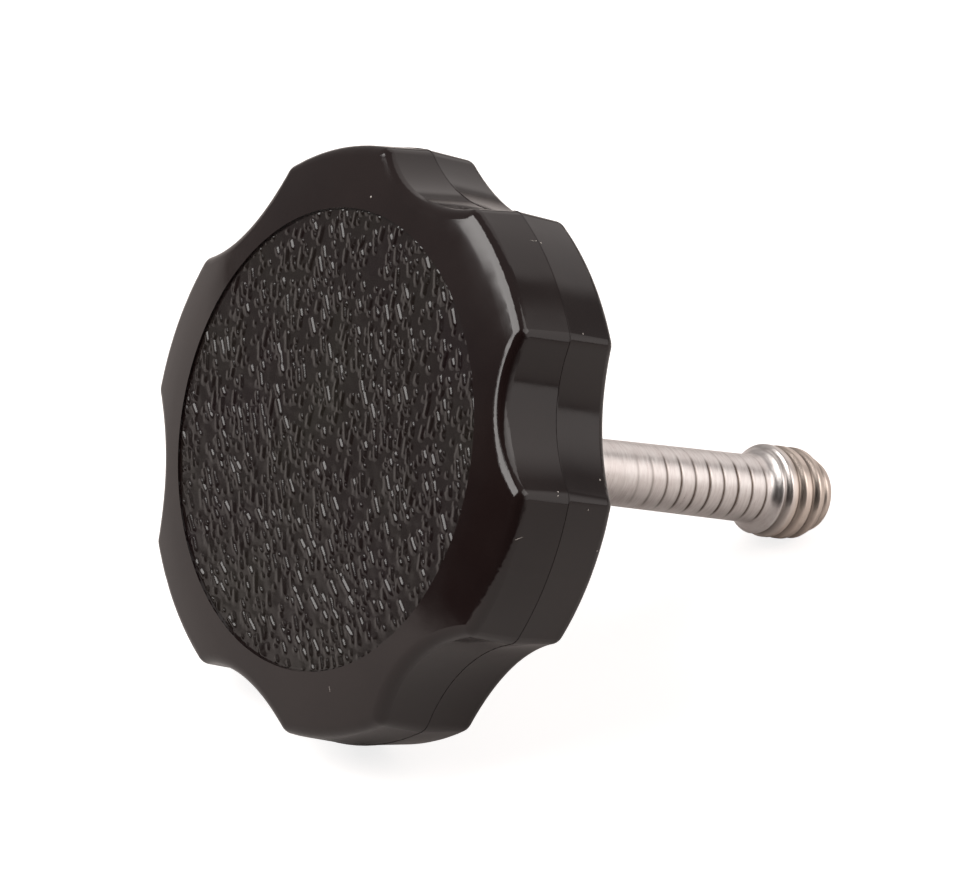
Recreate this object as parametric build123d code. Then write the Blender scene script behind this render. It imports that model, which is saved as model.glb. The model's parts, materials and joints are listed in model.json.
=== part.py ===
from build123d import *
import os
from math import acos, atan2, cos, degrees, hypot, radians, sin, sqrt, tan

# Sizes are in millimetres and angles in degrees.
# The knob is drawn about its own axis, with Z = 0 at the mould's parting plane,
# the face the hand presses toward -Z and the stud toward +Z.

# Outline of the head
lobe_radius = 19.05
lobe_count = 6
flute_depth = 1.95
flute_radius = 9.5
corner_radius = 1.2
draft_angle = 4.2

# Thickness and crowned faces of the head
face_height = 4.8
back_height = 4.8
flat_radius = 12.0
face_crown_radius = 22.0
back_crown_radius = 25.0
face_edge_radius = 0.9
back_edge_radius = 0.75

# Mould flash at the parting plane
flash_height = 0.025
flash_width = 0.06

# Sunk disc in the face
disc_radius = 14.7
disc_step = 0.2

# Room by which a cutting or joining shape passes the surface that it works on
tool_overlap = 1.0

# Low hub that seats on the clamped panel
hub_radius = 8.0
hub_height = 1.35
hub_edge_radius = 0.4
hub_root_radius = 0.6

# Moulded-in anchor of the stud
anchor_width = 11.1
anchor_height = 4.0
anchor_cover = 2.6
anchor_clearance = 0.05

# Stud, measured from the hub's end face
stud_reach = 31.75
thread_radius = 3.11
thread_length = 4.6
point_length = 1.7
point_radius = 2.3
shoulder_radius = 0.45
shank_radius = 2.28
shank_taper = 0.5
shank_root_radius = 0.3


def crown_drop(radius, crown_radius):
    """How far a crowned face has fallen below its flat middle at a radius."""
    run = radius - flat_radius
    return crown_radius - sqrt(crown_radius**2 - run**2)


def fluted_outline(growth=0.0):
    """Closed outline of the head at the parting plane."""
    circle_radius = flute_radius + lobe_radius - flute_depth
    with BuildSketch() as outline:
        Circle(lobe_radius + growth)
        with PolarLocations(circle_radius, lobe_count):
            Circle(flute_radius - growth, mode=Mode.SUBTRACT)
        fillet(outline.vertices(), corner_radius)
    return outline.sketch


def crowned_body():
    """Round body with a crowned face and a crowned back, wider than the outline."""
    reach = lobe_radius + tool_overlap
    face_end = crown_drop(reach, face_crown_radius) - face_height
    back_end = back_height - crown_drop(reach, back_crown_radius)
    with BuildSketch(Plane.XZ) as section:
        with BuildLine():
            face = Line((0, -face_height), (flat_radius, -face_height))
            face_arc = TangentArc(face @ 1, (reach, face_end), tangent=face % 1)
            back = Line((0, back_height), (flat_radius, back_height))
            back_arc = TangentArc(back @ 1, (reach, back_end), tangent=back % 1)
            Line(face_arc @ 1, back_arc @ 1)
            Line(face @ 0, back @ 0)
        make_face()
    return Rotation(Z=180) * revolve(section.sketch, Axis.Z)


def disc_recess():
    """Shallow round space that leaves the disc of the face sunk below its rim."""
    floor_z = crown_drop(disc_radius, face_crown_radius) - face_height + disc_step
    depth = floor_z + face_height
    space = Cylinder(disc_radius, 2 * depth)
    return Pos(Z=floor_z - depth) * space


def flute_sector():
    """Wedge of space round the flute on the X axis, out to the middle of two lobes."""
    reach = 2 * lobe_radius
    across = radians(180 / lobe_count)
    corner = (reach * cos(across), reach * sin(across))
    outline = make_face(Polyline((0, 0), (corner[0], -corner[1]), corner, close=True))
    return extrude(outline, face_height + back_height, both=True)


def rim_edges(crown):
    """Edges of a crowned face where it meets the side wall."""
    inside = lobe_radius - flute_depth - face_edge_radius

    def along_wall(edge):
        return min(hypot((edge @ end).X, (edge @ end).Y) for end in (0, 1)) > inside

    return crown.edges().filter_by(along_wall)


def round_rims(block):
    """Break the sharp rims where the side wall meets the crowned face and back."""
    crown = block.faces().filter_by(GeomType.REVOLUTION).sort_by(Axis.Z)[0]
    block = block.fillet(face_edge_radius, rim_edges(crown))
    crown = block.faces().filter_by(GeomType.REVOLUTION).sort_by(Axis.Z)[-1]
    return block.fillet(back_edge_radius, rim_edges(crown))


def fluted_body():
    """Fluted block, drafted both ways from the parting plane, with rounded rims."""
    outline = fluted_outline()
    toward_face = extrude(outline, -face_height, taper=draft_angle)
    toward_back = mirror(extrude(outline, -back_height, taper=draft_angle), Plane.XY)
    block = (toward_face + toward_back) & crowned_body() & flute_sector()
    sector = round_rims(block.solid())
    body = sector
    for index in range(1, lobe_count):
        body += Rotation(Z=index * 360 / lobe_count) * sector
    return body


def flash_line():
    """Thin ridge that the two mould halves leave round the parting plane."""
    return extrude(fluted_outline(flash_height), flash_width / 2, both=True)


def back_hub():
    """Low round hub on the back, with a blended root and a softened end."""
    hub_end = back_height + hub_height
    root_z = back_height
    joint_z = root_z - tool_overlap
    with BuildSketch(Plane.XZ) as section:
        with BuildLine():
            Polyline(
                (hub_radius + hub_root_radius, root_z),
                (hub_radius + hub_root_radius, joint_z),
                (0, joint_z),
                (0, hub_end),
                (hub_radius - hub_edge_radius, hub_end),
            )
            edge = RadiusArc(
                (hub_radius - hub_edge_radius, hub_end),
                (hub_radius, hub_end - hub_edge_radius),
                hub_edge_radius,
            )
            Line(edge @ 1, (hub_radius, root_z + hub_root_radius))
            RadiusArc(
                (hub_radius, root_z + hub_root_radius),
                (hub_radius + hub_root_radius, root_z),
                -hub_root_radius,
            )
        make_face()
    return revolve(section.sketch, Axis.Z)


def anchor_top():
    """Height of the anchor's bearing face inside the head."""
    return back_height + hub_height - anchor_cover


def anchor(across_flats):
    """Six-sided anchor that the head is moulded round."""
    section = RegularPolygon(across_flats / 2, 6, major_radius=False)
    return Pos(Z=anchor_top()) * extrude(section, -anchor_height)


def knob_head():
    """Moulded head: fluted, crowned, with its recess, hub and stud cavity."""
    hub_end = back_height + hub_height
    head = fluted_body() - disc_recess() + flash_line() + back_hub()
    head -= anchor(anchor_width + 2 * anchor_clearance)
    neck = Cylinder(
        thread_radius + anchor_clearance,
        hub_end - anchor_top() + 2 * tool_overlap,
        align=(Align.CENTER, Align.CENTER, Align.MIN),
    )
    return head - Pos(Z=anchor_top() - tool_overlap) * neck


def stud_profile():
    """Half section of the turned stud from the hub's end to its point."""
    hub_end = back_height + hub_height
    tip_z = hub_end + stud_reach
    thread_end = tip_z - point_length
    shoulder_z = tip_z - thread_length
    neck_radius = shank_radius - tan(radians(shank_taper)) * (shoulder_z - hub_end)
    with BuildSketch(Plane.XZ) as section:
        with BuildLine():
            Polyline(
                (0, tip_z),
                (0, anchor_top()),
                (thread_radius, anchor_top()),
                (thread_radius, hub_end),
                (neck_radius, hub_end),
                (shank_radius, shoulder_z),
                (thread_radius, shoulder_z),
                (thread_radius, thread_end),
                (point_radius, tip_z),
                (0, tip_z),
            )
        make_face()
        step = thread_radius - shank_radius
        root = section.vertices().sort_by_distance((shank_radius, shoulder_z))[0]
        fillet(root, min(shank_root_radius, 0.4 * step))
        rim = section.vertices().sort_by_distance((thread_radius, shoulder_z))[0]
        fillet(rim, min(shoulder_radius, 0.55 * step))
    return section.sketch


def threaded_stud():
    """Turned stud with its hidden anchor, necked shank and threaded end."""
    return revolve(stud_profile(), Axis.Z) + anchor(anchor_width)


def rim_contact():
    """Center of the back rim's rounding where a lobe's corner touches the ground.

    Given as the reach below the knob's axis and the height above the parting plane.
    """
    corner_center = lobe_radius - corner_radius
    circle_radius = flute_radius + lobe_radius - flute_depth
    gap = flute_radius + corner_radius
    cosine = (corner_center**2 + circle_radius**2 - gap**2) / (2 * corner_center * circle_radius)
    aside = corner_center * sqrt(1 - cosine**2)
    rim_z = back_height - crown_drop(lobe_radius, back_crown_radius)
    wall_reach = corner_center * cosine + corner_radius - tan(radians(draft_angle)) * rim_z
    reach = wall_reach - back_edge_radius
    run = hypot(reach, aside) - flat_radius
    inner_radius = back_crown_radius - back_edge_radius
    return reach, back_height - back_crown_radius + sqrt(inner_radius**2 - run**2)


def rest_tilt():
    """Angle at which the knob lies on the back rim of two lobes and on the stud."""
    reach, height = rim_contact()
    thread_end = back_height + hub_height + stud_reach - point_length
    rise = reach - thread_radius
    run = thread_end - height
    return degrees(acos(-back_edge_radius / hypot(rise, run)) - atan2(run, rise))


def resting(head, stud):
    """Lay the knob down: stud toward +Y and tip low, a flute underneath, on Z = 0."""
    turn = Rotation(X=-90 - rest_tilt()) * Rotation(Z=90)
    head = turn * head
    stud = turn * stud
    box = head.bounding_box().add(stud.bounding_box())
    shift = Pos(-box.center().X, -box.center().Y, -box.min.Z)
    return shift * head, shift * stud


head, stud = resting(knob_head(), threaded_stud())
os.makedirs("parts", exist_ok=True)
export_step(head, "parts/knob_head.step")
export_step(stud, "parts/threaded_stud.step")
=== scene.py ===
import json
import math

import bpy
from mathutils import Matrix, Vector, noise
from mathutils.bvhtree import BVHTree


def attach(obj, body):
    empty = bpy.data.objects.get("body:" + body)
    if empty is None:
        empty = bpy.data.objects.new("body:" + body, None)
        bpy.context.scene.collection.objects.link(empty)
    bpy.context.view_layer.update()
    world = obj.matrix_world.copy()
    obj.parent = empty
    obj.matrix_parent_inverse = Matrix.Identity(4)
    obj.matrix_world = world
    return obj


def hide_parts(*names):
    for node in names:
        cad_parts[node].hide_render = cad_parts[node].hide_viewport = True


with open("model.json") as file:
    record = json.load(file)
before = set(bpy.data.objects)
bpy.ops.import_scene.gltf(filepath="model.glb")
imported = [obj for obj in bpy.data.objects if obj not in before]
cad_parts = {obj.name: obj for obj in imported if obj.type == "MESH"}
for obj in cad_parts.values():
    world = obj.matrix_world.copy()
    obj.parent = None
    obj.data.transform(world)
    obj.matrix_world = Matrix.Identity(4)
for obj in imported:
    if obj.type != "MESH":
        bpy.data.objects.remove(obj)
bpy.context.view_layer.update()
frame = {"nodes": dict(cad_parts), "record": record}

MM = 0.001
IMAGE_WIDTH = 977
IMAGE_HEIGHT = 889

# Camera: angles in degrees, lengths in metres
VIEW_AZIMUTH = 56.066
VIEW_ELEVATION = 30.730
VIEW_ROLL = 0.647
VIEW_DISTANCE = 0.3845
VIEW_AIM = (0.006116, -0.007962, 0.019463)
SENSOR_WIDTH = 36.0
LENS = 224.82

# Places along the knob's own axis, in millimetres from the parting plane
DISC_FLOOR = -4.434
NECK_START = 4.2
HUB_END = 6.15
SHOULDER_START = 32.2
SHOULDER_END = 33.4
POINT_START = 36.2
TIP = 37.9

# Distance from the axis to the place where the seat is named, in millimetres
SEAT_OFFSET = 5.5

# Radii of the stud, and how much of each side its point's corners lose, in millimetres
NECK_RADIUS = 2.043
SHANK_RADIUS = 2.28
THREAD_RADIUS = 3.11
POINT_RADIUS = 2.3
POINT_ROUND = 0.3

# Helix of the thread, in millimetres
PITCH = 1.27
HELIX_PHASE = 0.52
THREAD_DEPTH = 0.29
THREAD_WIDTH = 0.9
THREAD_RUN_IN = (32.8, 33.3)
THREAD_RUN_OUT = (36.9, 37.6)
# Heights over which the thread's painted warm reflection fades in, in millimetres
THREAD_REFLECTION_SPAN = (33.1, 34.2)
THREAD_SHADE = 0.75

# Marks of the same helix on the shank, in millimetres
MARK_DEPTH = 0.06
MARK_WIDTH = 0.34
MARK_RUN_IN = (18.15, 25.15)
MARK_RUN_OUT = (32.2, 32.7)
MARK_SHADE = 1.6

# Side of the shank that keeps the marks and their painted shade, in turns about the axis
MARK_SIDE = 0.716
MARK_SPREAD = (0.1, 0.17)
MARK_BACK_FADE = 0.85

# Mesh of the stud: points round it, and millimetres between rows
STUD_SEGMENTS = 160
NECK_STEP = 0.4
SHANK_STEP = 0.075
THREAD_STEP = 0.05

# Textured disc in the face, in millimetres
DISC_RADIUS = 14.69
DISC_STEP = 0.085
DISC_RISE = 0.016
DISC_EDGE_SINK = 0.01
RELIEF_FADE = 0.12
WAVE_HEIGHT = 0.012
WAVE_SCALE = 1.3

# Moulded drops of the disc, as (cell, half width, greatest half length, height)
DROPS = ((0.92, 0.22, 0.5, 0.1), (0.66, 0.17, 0.16, 0.075))

# Share of the cells that stay empty, and lean of the drops in degrees
EMPTY_CELLS = 0.3
HIGH_LEAN = 30.0
LOW_LEAN = 51.0
LEAN_SCATTER = 44.0

# Specks of dust, as (pixel across, pixel down, radius in millimetres)
SPECKS = (
    (371, 197, 0.075),
    (600, 480, 0.07),
    (558, 492, 0.05),
    (558, 496, 0.045),
    (583, 334, 0.055),
    (588, 510, 0.05),
    (597, 551, 0.05),
    (541, 243, 0.06),
    (536, 241, 0.04),
)

SPECK_SIDES = 9

# Rings of a speck, as (share of its radius, share of its radius above the surface)
SPECK_RINGS = ((1.0, -0.2), (0.85, 0.35), (0.4, 0.6))

# Scuffs, as (pixel across, pixel down) at each end
SCUFFS = (((515, 540), (523, 537)), ((329, 686), (330, 692)), ((530, 240), (535, 241)))
SCUFF_WIDTH = 0.035
SCUFF_STEPS = 8

# Strength of the room's light, and of its dark side in front of the knob
ROOM_LIGHT = 0.27
ROOM_DARK = 0.01

# Floor: half its side in metres, color, and glow that only the camera sees
FLOOR_REACH = 3.0
FLOOR_COLOR = (0.52, 0.49, 0.475, 1)
FLOOR_GLOW = 0.8


def knob_frame():
    """Matrix from the knob's own axes, with the stud along Z, to the row's axes."""
    mounts = {mount["name"]: mount for mount in frame["record"]["mounts"]}
    along = Vector(mounts["thread"]["axis"]).normalized()
    aside = Vector((-1.0, 0.0, 0.0))
    down = aside.cross(along)
    seat = Vector(mounts["seat"]["pos_m"])
    center = seat - aside * SEAT_OFFSET * MM - along * HUB_END * MM
    turn = Matrix((down, aside, along)).transposed().to_4x4()
    return Matrix.Translation(center) @ turn @ Matrix.Scale(MM, 4)


KNOB = knob_frame()


def smooth_step(low, high, value):
    """0 below low, 1 above high, and a smooth rise between them."""
    share = min(max((value - low) / (high - low), 0.0), 1.0)
    return share * share * (3.0 - 2.0 * share)


def between(first, second, share):
    """Point on the way from one point to another."""
    return tuple(a + (b - a) * share for a, b in zip(first, second))


def add_object(name, data):
    """Object linked to the scene."""
    made = bpy.data.objects.new(name, data)
    bpy.context.scene.collection.objects.link(made)
    return made


def mesh_object(name, points, faces):
    """Object with a mesh given in the row's axes, in metres."""
    mesh = bpy.data.meshes.new(name)
    mesh.from_pydata(points, [], faces)
    return add_object(name, mesh)


def knob_object(name, points, faces):
    """Smooth-shaded mesh given in the knob's own axes, in millimetres."""
    piece = mesh_object(name, [KNOB @ Vector(point) for point in points], faces)
    piece.data.polygons.foreach_set("use_smooth", [True] * len(piece.data.polygons))
    piece.data.update()
    return piece


# Materials


def new_material(name):
    """Node material with its Principled shader."""
    material = bpy.data.materials.new(name)
    material.use_nodes = True
    return material, material.node_tree.nodes["Principled BSDF"]


def object_noise(tree, scale, detail, stretch=(1.0, 1.0, 1.0), roughness=0.5):
    """Noise over the knob's own axes, in millimetres."""
    coordinates = tree.nodes.new("ShaderNodeTexCoord")
    knob_axes = tree.nodes.new("ShaderNodeMapping")
    knob_axes.vector_type = "TEXTURE"
    knob_axes.inputs["Location"].default_value = KNOB.to_translation()
    knob_axes.inputs["Rotation"].default_value = KNOB.to_euler()
    knob_axes.inputs["Scale"].default_value = KNOB.to_scale()
    mapping = tree.nodes.new("ShaderNodeMapping")
    mapping.inputs["Scale"].default_value = stretch
    texture = tree.nodes.new("ShaderNodeTexNoise")
    texture.inputs["Scale"].default_value = scale
    texture.inputs["Detail"].default_value = detail
    texture.inputs["Roughness"].default_value = roughness
    tree.links.new(coordinates.outputs["Object"], knob_axes.inputs["Vector"])
    tree.links.new(knob_axes.outputs["Vector"], mapping.inputs["Vector"])
    tree.links.new(mapping.outputs["Vector"], texture.inputs["Vector"])
    return texture.outputs["Fac"]


def value_range(tree, source, low, high, start=0.3, end=0.7):
    """Maps a noise value to the range low to high."""
    ramp = tree.nodes.new("ShaderNodeMapRange")
    ramp.inputs["From Min"].default_value = start
    ramp.inputs["From Max"].default_value = end
    ramp.inputs["To Min"].default_value = low
    ramp.inputs["To Max"].default_value = high
    tree.links.new(source, ramp.inputs["Value"])
    return ramp.outputs["Result"]


def color_mix(tree, source, first, second):
    """Color between two colors by a noise value."""
    mix = tree.nodes.new("ShaderNodeMix")
    mix.data_type = "RGBA"
    mix.inputs["A"].default_value = first
    mix.inputs["B"].default_value = second
    tree.links.new(source, mix.inputs["Factor"])
    return mix.outputs["Result"]


def add_bump(tree, source, strength, distance, before=None):
    """Bump node, after an earlier one where given."""
    bump = tree.nodes.new("ShaderNodeBump")
    bump.inputs["Strength"].default_value = strength
    bump.inputs["Distance"].default_value = distance
    tree.links.new(source, bump.inputs["Height"])
    if before:
        tree.links.new(before, bump.inputs["Normal"])
    return bump.outputs["Normal"]


def plastic_material(name, first, second, rough_low, rough_high):
    """Black moulded plastic with a faint mottle and a fine grain."""
    material, shader = new_material(name)
    tree = material.node_tree
    cloud = object_noise(tree, scale=0.16, detail=4.0)
    tint = color_mix(tree, value_range(tree, cloud, 0.0, 1.0), first, second)
    tree.links.new(tint, shader.inputs["Base Color"])
    patches = object_noise(tree, scale=0.42, detail=5.0)
    tree.links.new(value_range(tree, patches, rough_low, rough_high), shader.inputs["Roughness"])
    swell = object_noise(tree, scale=0.3, detail=2.0)
    soft = add_bump(tree, swell, strength=0.3, distance=0.00003)
    grain = object_noise(tree, scale=14.0, detail=2.0)
    fine = add_bump(tree, grain, strength=0.15, distance=0.000002, before=soft)
    tree.links.new(fine, shader.inputs["Normal"])
    shader.inputs["Specular IOR Level"].default_value = 0.5
    return material


def vertex_value(tree, name):
    """Value that the mesh keeps at its points."""
    attribute = tree.nodes.new("ShaderNodeAttribute")
    attribute.attribute_name = name
    return attribute.outputs["Fac"]


def tinted(tree, color, name, tint):
    """Color that turns to a tint where the mesh's value of that name is 1."""
    mix = tree.nodes.new("ShaderNodeMix")
    mix.data_type = "RGBA"
    mix.inputs["B"].default_value = tint
    tree.links.new(color, mix.inputs["A"])
    tree.links.new(vertex_value(tree, name), mix.inputs["Factor"])
    return mix.outputs["Result"]


def even_mix(tree, first, second):
    """Color halfway between two colors."""
    mix = tree.nodes.new("ShaderNodeMix")
    mix.data_type = "RGBA"
    mix.inputs["Factor"].default_value = 0.5
    tree.links.new(first, mix.inputs["A"])
    tree.links.new(second, mix.inputs["B"])
    return mix.outputs["Result"]


def steel_material():
    """Bright plated steel with fine turning streaks, a painted warm reflection on the thread and
    painted shade in every groove.
    """
    material, shader = new_material("plated_steel")
    tree = material.node_tree
    streaks = object_noise(tree, scale=1.0, detail=4.0, stretch=(0.9, 0.9, 6.0), roughness=0.65)
    wear = object_noise(tree, scale=0.9, detail=4.0)
    streak_share = value_range(tree, streaks, 0.0, 1.0, start=0.36, end=0.6)
    brushed = color_mix(tree, streak_share, (0.74, 0.68, 0.66, 1), (1.0, 0.965, 0.945, 1))
    wear_share = value_range(tree, wear, 0.0, 1.0)
    worn = color_mix(tree, wear_share, (0.8, 0.74, 0.72, 1), (0.97, 0.94, 0.92, 1))
    color = even_mix(tree, brushed, worn)
    # Painted reflection: the thread attribute turns the thread beige, standing in for the warm
    # surroundings it reflects
    color = tinted(tree, color, "thread", (0.84, 0.73, 0.65, 1))
    # Painted shade: the groove attribute turns each groove and mark dark brown, standing in for
    # the shade that falls in it
    color = tinted(tree, color, "groove", (0.15, 0.115, 0.095, 1))
    tree.links.new(color, shader.inputs["Base Color"])
    tree.links.new(value_range(tree, streaks, 0.27, 0.42), shader.inputs["Roughness"])
    shader.inputs["Metallic"].default_value = 1.0
    brushing = add_bump(tree, streaks, strength=0.4, distance=0.00002)
    dents = add_bump(tree, wear, strength=0.25, distance=0.00005, before=brushing)
    tree.links.new(dents, shader.inputs["Normal"])
    return material


# Stud


def rounded(before, corner, after):
    """Points of a curve that rounds a corner, within it."""
    count = 6
    middle = Vector(corner)
    first = middle + (Vector(before) - middle).normalized() * POINT_ROUND
    last = middle + (Vector(after) - middle).normalized() * POINT_ROUND
    shares = [step / count for step in range(count + 1)]
    curve = [first * (1 - t) ** 2 + middle * 2 * t * (1 - t) + last * t**2 for t in shares]
    return [tuple(point) for point in curve]


def shoulder_slope():
    """Points of the slope from the shank out to the thread."""
    count = 12
    points = []
    for step in range(count + 1):
        height = SHOULDER_START + (SHOULDER_END - SHOULDER_START) * step / count
        share = smooth_step(SHOULDER_START, SHOULDER_END, height)
        points.append((SHANK_RADIUS + (THREAD_RADIUS - SHANK_RADIUS) * share, height))
    return points


def row_step(height):
    """Distance between the rows of the stud's mesh up to a height."""
    if height <= HUB_END:
        return NECK_STEP
    if height <= SHOULDER_START:
        return SHANK_STEP
    return THREAD_STEP


def stud_section():
    """Half section of the stud as (radius, height) points, outside the thread's groove."""
    thread_start = (THREAD_RADIUS, SHOULDER_END)
    point_start = (THREAD_RADIUS, POINT_START)
    point_end = (POINT_RADIUS, TIP)
    corners = [(0.0, NECK_START), (THREAD_RADIUS, NECK_START), (THREAD_RADIUS, HUB_END)]
    corners += [(NECK_RADIUS, HUB_END)] + shoulder_slope()
    corners += rounded(thread_start, point_start, point_end)
    corners += rounded(point_start, point_end, (0.0, TIP))
    corners.append((0.0, TIP))
    points = [corners[0]]
    for start, end in zip(corners, corners[1:]):
        count = max(1, round(math.dist(start, end) / row_step(end[1])))
        points += [between(start, end, index / count) for index in range(1, count + 1)]
    return points


def helix_share(height, turn, width):
    """Depth of a groove along the helix, from 0 outside its width to 1 at the root."""
    place = (height - HELIX_PHASE) / PITCH - turn
    off = abs(place - round(place)) * PITCH
    return 1.0 - smooth_step(0.0, width / 2.0, off)


def thread_share(height, turn):
    """Depth of the thread's groove, which runs out at both ends."""
    fade = smooth_step(*THREAD_RUN_IN, height) * (1.0 - smooth_step(*THREAD_RUN_OUT, height))
    return fade * helix_share(height, turn, THREAD_WIDTH)


def mark_share(height, turn):
    """Depth of the thread's marks on the shank, and of their painted shade, fading out toward the
    head and round the back.
    """
    worn = 0.75 + 0.6 * noise.noise(Vector((height * 0.7, turn * 4.0, 1.7)))
    fade = smooth_step(*MARK_RUN_IN, height) * (1.0 - smooth_step(*MARK_RUN_OUT, height))
    off = abs(turn - MARK_SIDE - round(turn - MARK_SIDE))
    fade *= 1.0 - MARK_BACK_FADE * smooth_step(*MARK_SPREAD, off)
    return min(1.0, worn) * fade * helix_share(height, turn, MARK_WIDTH)


def stud_cut(radius, height, turn):
    """Depth of the cut at a place on the stud, and how strongly painted shade darkens it there.
    """
    if height > THREAD_RUN_IN[0]:
        share = thread_share(height, turn)
        return min(radius, THREAD_DEPTH * share), THREAD_SHADE * share
    if height > HUB_END and radius >= NECK_RADIUS:
        share = mark_share(height, turn)
        return MARK_DEPTH * share, min(1.0, MARK_SHADE * share)
    return 0.0, 0.0


def stud_piece():
    """The whole stud outside the head as one turned surface, with a single point at each pole."""
    points, groove_shades, thread_reflection_tints, starts, counts = [], [], [], [], []
    for radius, height in stud_section():
        count = STUD_SEGMENTS if radius > 0.0 else 1
        starts.append(len(points))
        counts.append(count)
        for index in range(count):
            turn = index / STUD_SEGMENTS
            angle = math.tau * turn
            depth, groove = stud_cut(radius, height, turn)
            reach = radius - depth
            points.append((reach * math.cos(angle), reach * math.sin(angle), height))
            groove_shades.append(groove)
            thread_reflection_tints.append(smooth_step(*THREAD_REFLECTION_SPAN, height))
    faces = []
    for row in range(len(starts) - 1):
        for index in range(STUD_SEGMENTS):
            around = [(row, index), (row + 1, index), (row + 1, index + 1), (row, index + 1)]
            corners = [starts[ring] + place % counts[ring] for ring, place in around]
            faces.append(list(dict.fromkeys(corners)))
    piece = knob_object("stud_visual", points, faces)
    # The mesh keeps the painted groove shade and the painted warm reflection of the thread as
    # values at its points
    for name, values in (("groove", groove_shades), ("thread", thread_reflection_tints)):
        attribute = piece.data.attributes.new(name, "FLOAT", "POINT")
        attribute.data.foreach_set("value", values)
    return piece


# Disc


def drop_list(drop, layer):
    """Moulded drops of one size, by cell.

    Each is (x, y, cosine and sine of its lean, half width, half length, height).
    """
    cell, half_width, half_length, height = drop
    count = math.ceil(DISC_RADIUS / cell) + 1
    drops = {}
    for i in range(-count, count + 1):
        for j in range(-count, count + 1):
            place = noise.cell_vector(Vector((i + 0.5, j + 0.5, layer + 0.5)))
            kind = noise.cell_vector(Vector((i + 0.5, j + 0.5, layer + 7.5)))
            if kind.x < EMPTY_CELLS:
                continue
            x = (i + 0.1 + 0.8 * place.x) * cell
            y = (j + 0.1 + 0.8 * place.y) * cell
            low = smooth_step(-0.2, 0.7, x / DISC_RADIUS)
            lean = HIGH_LEAN + (LOW_LEAN - HIGH_LEAN) * low + LEAN_SCATTER * (kind.y - 0.5)
            lean = math.radians(lean)
            width = half_width * (0.75 + 0.5 * kind.z)
            length = half_length * (0.25 + 0.75 * place.z)
            top = height * (0.6 + 0.4 * kind.y)
            drops[i, j] = (x, y, math.cos(lean), math.sin(lean), width, length, top)
    return drops


def drop_height(x, y, drops, cell):
    """Height of the moulded drops of one size at a point of the disc."""
    best = 0.0
    row, column = math.floor(x / cell), math.floor(y / cell)
    for key in ((row + i, column + j) for i in (-1, 0, 1) for j in (-1, 0, 1)):
        if key in drops:
            place_x, place_y, cosine, sine, width, length, height = drops[key]
            off_x, off_y = x - place_x, y - place_y
            along = abs(off_x * cosine - off_y * sine)
            across = off_x * sine + off_y * cosine
            off = math.hypot(max(0.0, along - length), across) / width
            best = max(best, height * (1.0 - min(off, 1.0) ** 2))
    return best


def disc_piece():
    """Raised texture of the sunk disc, which sinks into the floor at its edge."""
    half = int(DISC_RADIUS / DISC_STEP)
    layers = [(drop_list(drop, layer), drop[0]) for layer, drop in enumerate(DROPS)]
    numbers = {}
    points = []
    for row in range(-half, half + 1):
        for column in range(-half, half + 1):
            x, y = column * DISC_STEP, row * DISC_STEP
            reach = math.hypot(x, y)
            if reach > DISC_RADIUS:
                continue
            fade = 1.0 - smooth_step(DISC_RADIUS - RELIEF_FADE, DISC_RADIUS, reach)
            waves = WAVE_HEIGHT * noise.noise(Vector((x * WAVE_SCALE, y * WAVE_SCALE, 5.0)))
            raised = max(drop_height(x, y, drops, cell) for drops, cell in layers)
            rise = (DISC_RISE + waves + raised) * fade - DISC_EDGE_SINK * (1.0 - fade)
            numbers[row, column] = len(points)
            points.append((x, y, DISC_FLOOR - rise))
    faces = []
    for row, column in numbers:
        corners = [(row, column), (row + 1, column), (row + 1, column + 1), (row, column + 1)]
        if all(corner in numbers for corner in corners):
            faces.append([numbers[corner] for corner in corners])
    return knob_object("disc_texture", points, faces)


# Dust and scuffs


def pixel_ray(across, down):
    """Start and direction of the camera's ray through a pixel of the photograph."""
    holder = bpy.context.scene.camera
    focal = LENS / SENSOR_WIDTH * IMAGE_WIDTH
    aim = Vector((across - IMAGE_WIDTH / 2.0, IMAGE_HEIGHT / 2.0 - down, -focal))
    return holder.location, (holder.rotation_quaternion @ aim).normalized()


def speck_faces(points, faces, center, normal, radius, number):
    """Adds a small flattened grain that sits on the surface."""
    side = normal.orthogonal().normalized()
    other = normal.cross(side)
    start = len(points)
    count = SPECK_SIDES
    for ring, (reach, rise) in enumerate(SPECK_RINGS):
        for index in range(count):
            angle = math.tau * index / count
            wobble = 1.0 + 0.35 * noise.noise(Vector((index * 0.9, ring * 0.3, number * 3.1)))
            outward = side * math.cos(angle) + other * math.sin(angle)
            points.append(center + outward * radius * reach * wobble + normal * radius * rise)
    for ring in range(len(SPECK_RINGS) - 1):
        for index in range(count):
            after = (index + 1) % count
            low, high = start + ring * count, start + (ring + 1) * count
            faces.append((low + index, low + after, high + after, high + index))
    last = start + (len(SPECK_RINGS) - 1) * count
    faces.append([last + index for index in range(count)])


def scuff_faces(points, faces, tree, ends):
    """Adds a narrow raised sliver between two pixels on the surface."""
    start = len(points)
    for index in range(SCUFF_STEPS + 1):
        share = index / SCUFF_STEPS
        place, normal = tree.ray_cast(*pixel_ray(*between(*ends, share)))[:2]
        ahead = tree.ray_cast(*pixel_ray(*between(*ends, share + 1.0)))[0]
        width = SCUFF_WIDTH * MM * (0.25 + 0.75 * math.sin(math.pi * share))
        side = (ahead - place).cross(normal).normalized() * width / 2.0
        points += [place - side, place + normal * width * 0.3, place + side]
    for index in range(SCUFF_STEPS):
        row = start + 3 * index
        faces += [(row, row + 1, row + 4, row + 3), (row + 1, row + 2, row + 5, row + 4)]


def dust_material():
    """Pale dust, lighter and darker from grain to grain."""
    material, shader = new_material("dust")
    tree = material.node_tree
    share = value_range(tree, object_noise(tree, scale=8.0, detail=3.0), 0.0, 1.0)
    color = color_mix(tree, share, (0.30, 0.27, 0.25, 1), (0.62, 0.58, 0.54, 1))
    tree.links.new(color, shader.inputs["Base Color"])
    shader.inputs["Roughness"].default_value = 0.8
    return material


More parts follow.
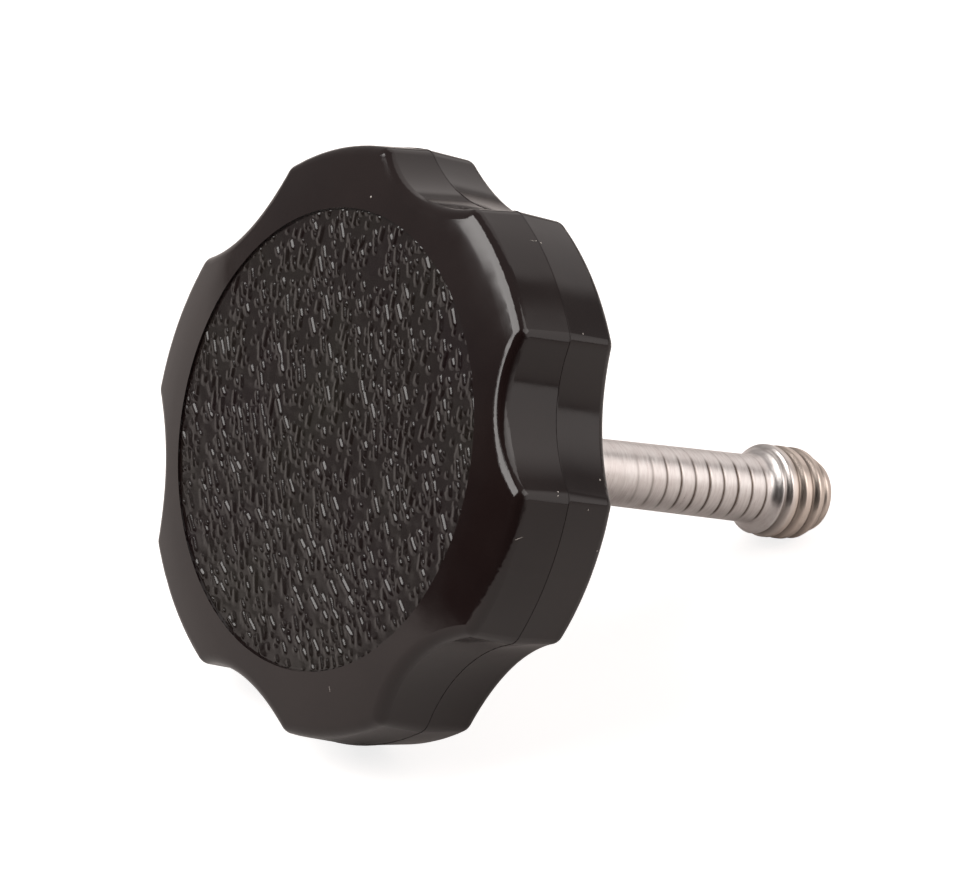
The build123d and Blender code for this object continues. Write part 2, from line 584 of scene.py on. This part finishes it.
def dust_piece(carrier):
    """Pale grains and scuffs on the plastic, as the photograph shows them."""
    tree = BVHTree.FromPolygons(
        [vertex.co for vertex in carrier.data.vertices],
        [polygon.vertices for polygon in carrier.data.polygons],
    )
    points, faces = [], []
    for number, (across, down, radius) in enumerate(SPECKS):
        place, normal = tree.ray_cast(*pixel_ray(across, down))[:2]
        speck_faces(points, faces, place, normal, radius * MM, number)
    for ends in SCUFFS:
        scuff_faces(points, faces, tree, ends)
    piece = mesh_object("dust_specks", points, faces)
    piece.data.materials.append(dust_material())
    return piece


# Surroundings


def floor_piece():
    """Pale floor that keeps the knob's shadow and shows white around it."""
    signs = ((-1, -1), (1, -1), (1, 1), (-1, 1))
    corners = [(across * FLOOR_REACH, along * FLOOR_REACH, 0) for across, along in signs]
    floor = mesh_object("floor", corners, [(0, 1, 2, 3)])
    material, shader = new_material("floor_white")
    tree = material.node_tree
    shader.inputs["Base Color"].default_value = FLOOR_COLOR
    shader.inputs["Roughness"].default_value = 0.9
    shader.inputs["Specular IOR Level"].default_value = 0.0
    path = tree.nodes.new("ShaderNodeLightPath")
    glow = tree.nodes.new("ShaderNodeMath")
    glow.operation = "MULTIPLY"
    glow.inputs[1].default_value = FLOOR_GLOW
    tree.links.new(path.outputs["Is Camera Ray"], glow.inputs[0])
    shader.inputs["Emission Color"].default_value = (1, 1, 1, 1)
    tree.links.new(glow.outputs[0], shader.inputs["Emission Strength"])
    floor.data.materials.append(material)


def direction(azimuth, elevation):
    """Unit vector toward a bearing, in degrees."""
    a, e = math.radians(azimuth), math.radians(elevation)
    return Vector((math.sin(a) * math.cos(e), -math.cos(a) * math.cos(e), math.sin(e)))


def sky_patch(tree, toward, bearing, angles, away, within):
    """Strength within an inner angle of a bearing, and away from it beyond an outer angle."""
    dot = tree.nodes.new("ShaderNodeVectorMath")
    dot.operation = "DOT_PRODUCT"
    dot.inputs[1].default_value = direction(*bearing)
    tree.links.new(toward, dot.inputs[0])
    patch = tree.nodes.new("ShaderNodeMapRange")
    patch.interpolation_type = "SMOOTHSTEP"
    patch.inputs["From Min"].default_value = math.cos(math.radians(angles[1]))
    patch.inputs["From Max"].default_value = math.cos(math.radians(angles[0]))
    patch.inputs["To Min"].default_value = away
    patch.inputs["To Max"].default_value = within
    tree.links.new(dot.outputs["Value"], patch.inputs["Value"])
    return patch.outputs["Result"]


def combine(tree, operation, first, second):
    """Math node on two values."""
    node = tree.nodes.new("ShaderNodeMath")
    node.operation = operation
    tree.links.new(first, node.inputs[0])
    tree.links.new(second, node.inputs[1])
    return node.outputs[0]


def world_light():
    """White background, and a grey room that is brighter at two sides and dark in front."""
    world = bpy.data.worlds.new("studio")
    bpy.context.scene.world = world
    world.use_nodes = True
    tree = world.node_tree
    background = tree.nodes["Background"]
    toward = tree.nodes.new("ShaderNodeTexCoord").outputs["Generated"]
    right = sky_patch(tree, toward, (135, 18), (16, 40), away=0.0, within=0.9)
    left = sky_patch(tree, toward, (-150, 28), (22, 27), away=0.0, within=0.5)
    front = sky_patch(tree, toward, (42, 22), (30, 62), away=ROOM_LIGHT, within=ROOM_DARK)
    low_front = sky_patch(tree, toward, (-12, 3), (12, 30), away=ROOM_LIGHT, within=ROOM_DARK)
    room = combine(tree, "MINIMUM", front, low_front)
    glow = combine(tree, "ADD", room, combine(tree, "ADD", right, left))
    path = tree.nodes.new("ShaderNodeLightPath")
    tint = color_mix(tree, path.outputs["Is Camera Ray"], (1.0, 0.93, 0.90, 1), (1, 1, 1, 1))
    tree.links.new(tint, background.inputs["Color"])
    strength = combine(tree, "MAXIMUM", glow, path.outputs["Is Camera Ray"])
    tree.links.new(strength, background.inputs["Strength"])


def area_lamp(name, bearing, distance, size, power, color):
    """Soft lamp aimed at the knob from a bearing, in degrees and metres."""
    lamp = bpy.data.lights.new(name, "AREA")
    lamp.shape = "RECTANGLE"
    lamp.size, lamp.size_y = size
    lamp.energy = power
    lamp.color = color
    holder = add_object(name, lamp)
    away = direction(*bearing)
    holder.location = Vector(VIEW_AIM) + away * distance
    holder.rotation_mode = "QUATERNION"
    holder.rotation_quaternion = away.to_track_quat("Z", "Y")


def camera():
    """Camera at the photograph's viewing angle."""
    data = bpy.data.cameras.new("camera")
    data.sensor_width = SENSOR_WIDTH
    data.lens = LENS
    data.clip_start = 0.01
    data.clip_end = 20.0
    holder = add_object("camera", data)
    back = direction(VIEW_AZIMUTH, VIEW_ELEVATION)
    turn = back.to_track_quat("Z", "Y").to_matrix().to_4x4()
    roll = Matrix.Rotation(math.radians(-VIEW_ROLL), 4, "Z")
    place = Matrix.Translation(Vector(VIEW_AIM) + back * VIEW_DISTANCE)
    pose = place @ turn @ roll
    holder.rotation_mode = "QUATERNION"
    holder.location = pose.to_translation()
    holder.rotation_quaternion = pose.to_quaternion()
    bpy.context.scene.camera = holder


head_plastic = plastic_material(
    "head_plastic",
    first=(0.0085, 0.0046, 0.0046, 1),
    second=(0.0125, 0.0075, 0.007, 1),
    rough_low=0.08,
    rough_high=0.14,
)
disc_plastic = plastic_material(
    "disc_plastic",
    first=(0.0085, 0.0048, 0.0052, 1),
    second=(0.0115, 0.0095, 0.0075, 1),
    rough_low=0.11,
    rough_high=0.18,
)

head = frame["nodes"]["knob_head"]
head.data.materials.clear()
head.data.materials.append(head_plastic)

disc = disc_piece()
disc.data.materials.append(disc_plastic)
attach(disc, "root")

camera()
dust = dust_piece(head)
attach(dust, "root")

stud = stud_piece()
stud.data.materials.append(steel_material())
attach(stud, "root")
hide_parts("threaded_stud")

floor_piece()
world_light()
area_lamp("top_box", (-20, 52), 0.8, size=(0.75, 0.70), power=9.0, color=(1.0, 0.97, 0.95))
area_lamp("side_box", (118, 47), 0.8, size=(0.52, 0.50), power=1.4, color=(1.0, 0.96, 0.93))
bpy.context.scene.view_settings.view_transform = "Standard"
